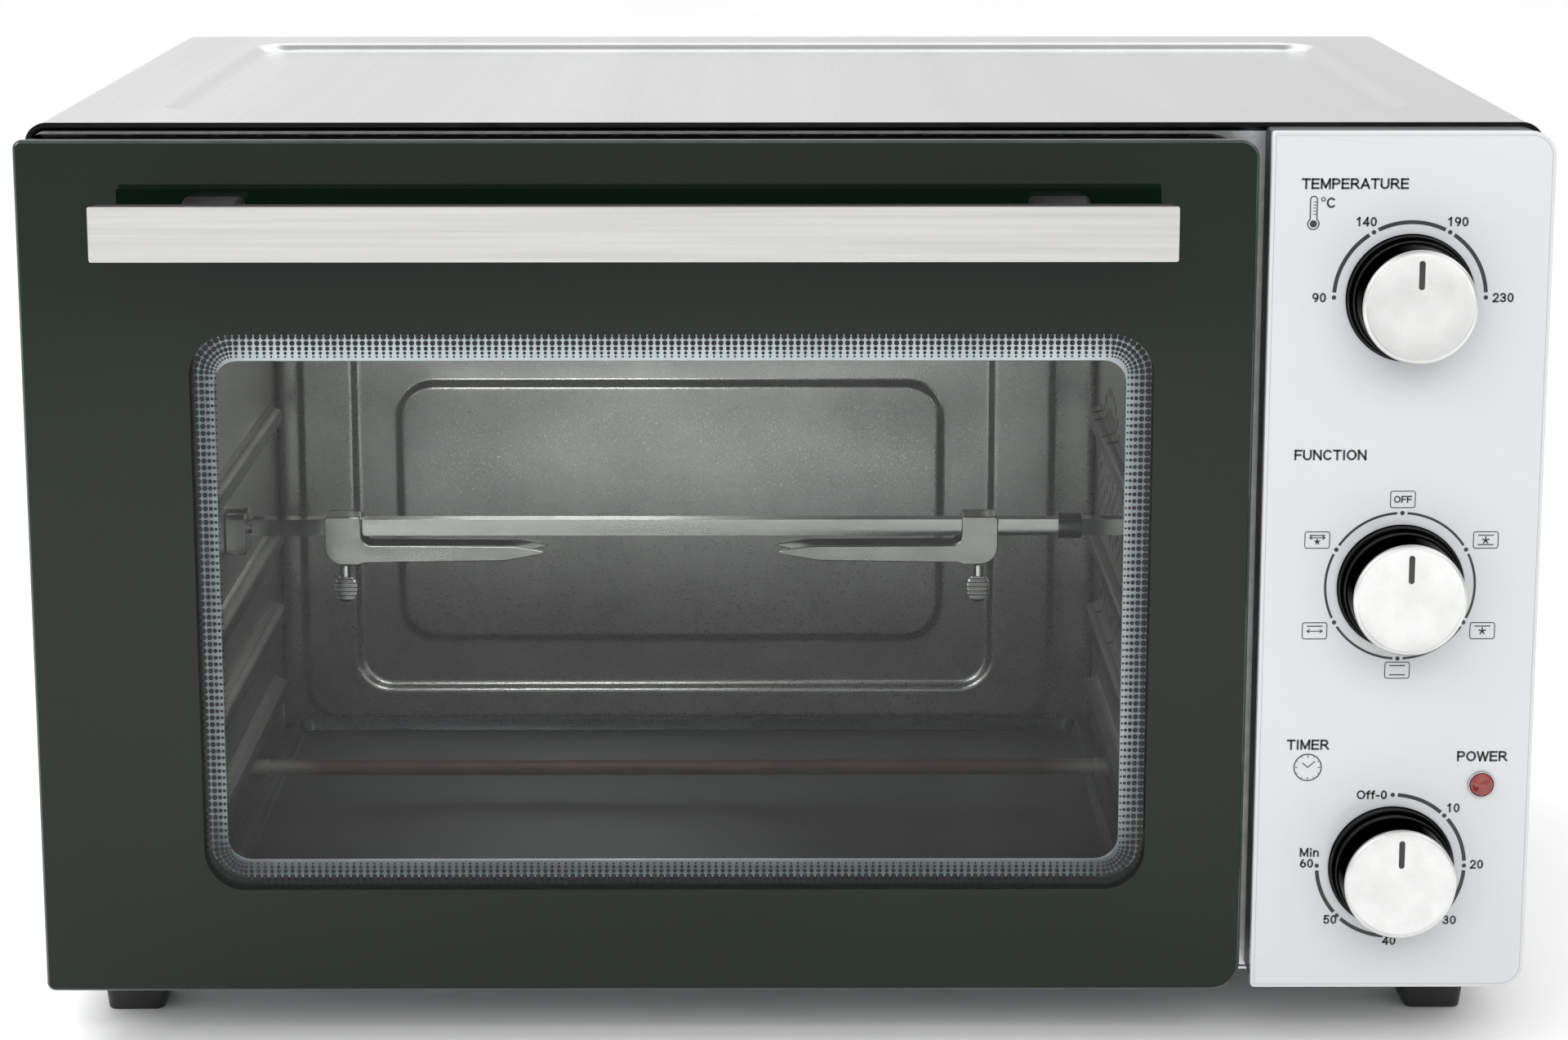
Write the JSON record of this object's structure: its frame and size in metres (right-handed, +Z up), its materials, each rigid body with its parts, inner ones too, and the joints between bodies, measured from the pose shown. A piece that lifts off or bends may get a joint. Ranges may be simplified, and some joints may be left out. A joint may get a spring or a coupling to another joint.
{
  "type": "rotisserie oven",
  "caption": "Worktop oven: drop-down dark glass door with a bar handle, a control panel with dials on the right, and a motor-driven spit with forks inside",
  "frame": {"origin": "on the table, at the middle of the overall box", "axes": "+X to the right and +Y to the back for someone facing the door, +Z up"},
  "size_m": [0.52, 0.395, 0.325],
  "materials": {
    "stainless": "bright satin stainless sheet",
    "handle_steel": "long horizontal brushing",
    "galvanised": "dull galvanised sheet",
    "liner": "aluminised sheet, soft grey",
    "door_glass": "dark printed glass with a clear window",
    "clear_glass": "clear flat glass",
    "panel_glass": "back-painted silver-white glass",
    "black_plastic": "fine moulded texture",
    "black_enamel": "semi-gloss black enamel",
    "dark_chrome": "glossy dark chrome",
    "satin_cap": "satin silver with a bright edge",
    "bright_steel": "bright plated steel",
    "heater_sheath": "heat-tinted dark sheath",
    "red_lens": "clear red",
    "control_body": "heat-proof moulding",
    "motor_steel": "plain plated steel"
  },
  "bodies": {
    "body": {"back_panel": "galvanised", "base_plate": "galvanised", "cable_gland": "black_plastic", "casing": "stainless", "cavity_back_wall": "liner", "cavity_ceiling": "liner", "cavity_floor": "liner", "cavity_left_wall": "liner", "cavity_right_wall": "liner", "control_panel_glass": "panel_glass", "control_panel_housing": "black_plastic", "crumb_tray": "liner", "fan_housing": "galvanised", "fan_motor": "motor_steel", "foot_front_left": "black_plastic", "foot_front_right": "black_plastic", "foot_rear_left": "black_plastic", "foot_rear_right": "black_plastic", "front_frame": "galvanised", "function_switch": "control_body", "heater_lower_front": "heater_sheath", "heater_lower_rear": "heater_sheath", "heater_upper_front": "heater_sheath", "heater_upper_rear": "heater_sheath", "hinge_bracket_left": "galvanised", "hinge_bracket_right": "galvanised", "indicator_lamp": "red_lens", "indicator_lens": "red_lens", "rotisserie_motor": "motor_steel", "spit_cradle": "bright_steel", "terminal_block": "control_body", "thermostat": "control_body", "timer_unit": "control_body", "wall_spacer_left": "black_plastic", "wall_spacer_right": "black_plastic"},
    "door": {"door_outer_glass": "door_glass", "door_frame": "black_enamel", "door_inner_frame": "liner", "door_inner_glass": "clear_glass", "handle_body": "black_plastic", "handle_plate": "handle_steel", "hinge_pin_left": "bright_steel", "hinge_pin_right": "bright_steel"},
    "temperature_dial": {"temperature_knob": "dark_chrome", "temperature_knob_cap": "satin_cap", "temperature_shaft": "bright_steel"},
    "function_dial": {"function_knob": "dark_chrome", "function_knob_cap": "satin_cap", "function_shaft": "bright_steel"},
    "timer_dial": {"timer_knob": "dark_chrome", "timer_knob_cap": "satin_cap", "timer_shaft": "bright_steel"},
    "spit": {"spit_rod": "bright_steel", "drive_coupling": "bright_steel"},
    "left_fork": {"fork_left": "bright_steel"},
    "right_fork": {"fork_right": "bright_steel"},
    "left_thumb_screw": {"thumb_screw_left": "bright_steel"},
    "right_thumb_screw": {"thumb_screw_right": "bright_steel"},
    "fan": {"fan_impeller": "galvanised"}
  },
  "joints": [
    {"name": "door_hinge", "type": "hinge", "parent": "body", "child": "door", "pos_m": [-0.05, -0.1535, 0.026], "axis": [1, 0, 0], "range_deg": [0, 85], "stiffness_Nm_per_rad": 1.2, "springref_deg": -28.65},
    {"name": "temperature_turn", "type": "hinge", "parent": "body", "child": "temperature_dial", "pos_m": [0.212, -0.1675, 0.2683], "axis": [0, 1, 0], "range_deg": [-90, 90]},
    {"name": "function_turn", "type": "hinge", "parent": "body", "child": "function_dial", "pos_m": [0.212, -0.1675, 0.16755], "axis": [0, 1, 0], "range_deg": [0, 300]},
    {"name": "timer_turn", "type": "hinge", "parent": "body", "child": "timer_dial", "pos_m": [0.212, -0.1675, 0.0668], "axis": [0, 1, 0], "range_deg": [0, 270]},
    {"name": "spit_spin", "type": "hinge", "parent": "body", "child": "spit", "pos_m": [-0.05, 0.001, 0.151], "axis": [1, 0, 0], "continuous": true},
    {"name": "left_fork_slide", "type": "slide", "parent": "spit", "child": "left_fork", "axis": [1, 0, 0], "range_m": [-0.02, 0.04]},
    {"name": "right_fork_slide", "type": "slide", "parent": "spit", "child": "right_fork", "axis": [1, 0, 0], "range_m": [-0.04, 0.02]},
    {"name": "left_thumb_screw_turn", "type": "hinge", "parent": "left_fork", "child": "left_thumb_screw", "pos_m": [-0.1714, 0.001, 0.135], "axis": [0, 0, 1], "range_deg": [0, 360]},
    {"name": "right_thumb_screw_turn", "type": "hinge", "parent": "right_fork", "child": "right_thumb_screw", "pos_m": [0.0765, 0.001, 0.135], "axis": [0, 0, 1], "range_deg": [0, 360]},
    {"name": "fan_spin", "type": "hinge", "parent": "body", "child": "fan", "pos_m": [0.15, 0.077, 0.137], "axis": [1, 0, 0], "continuous": true}
  ]
}
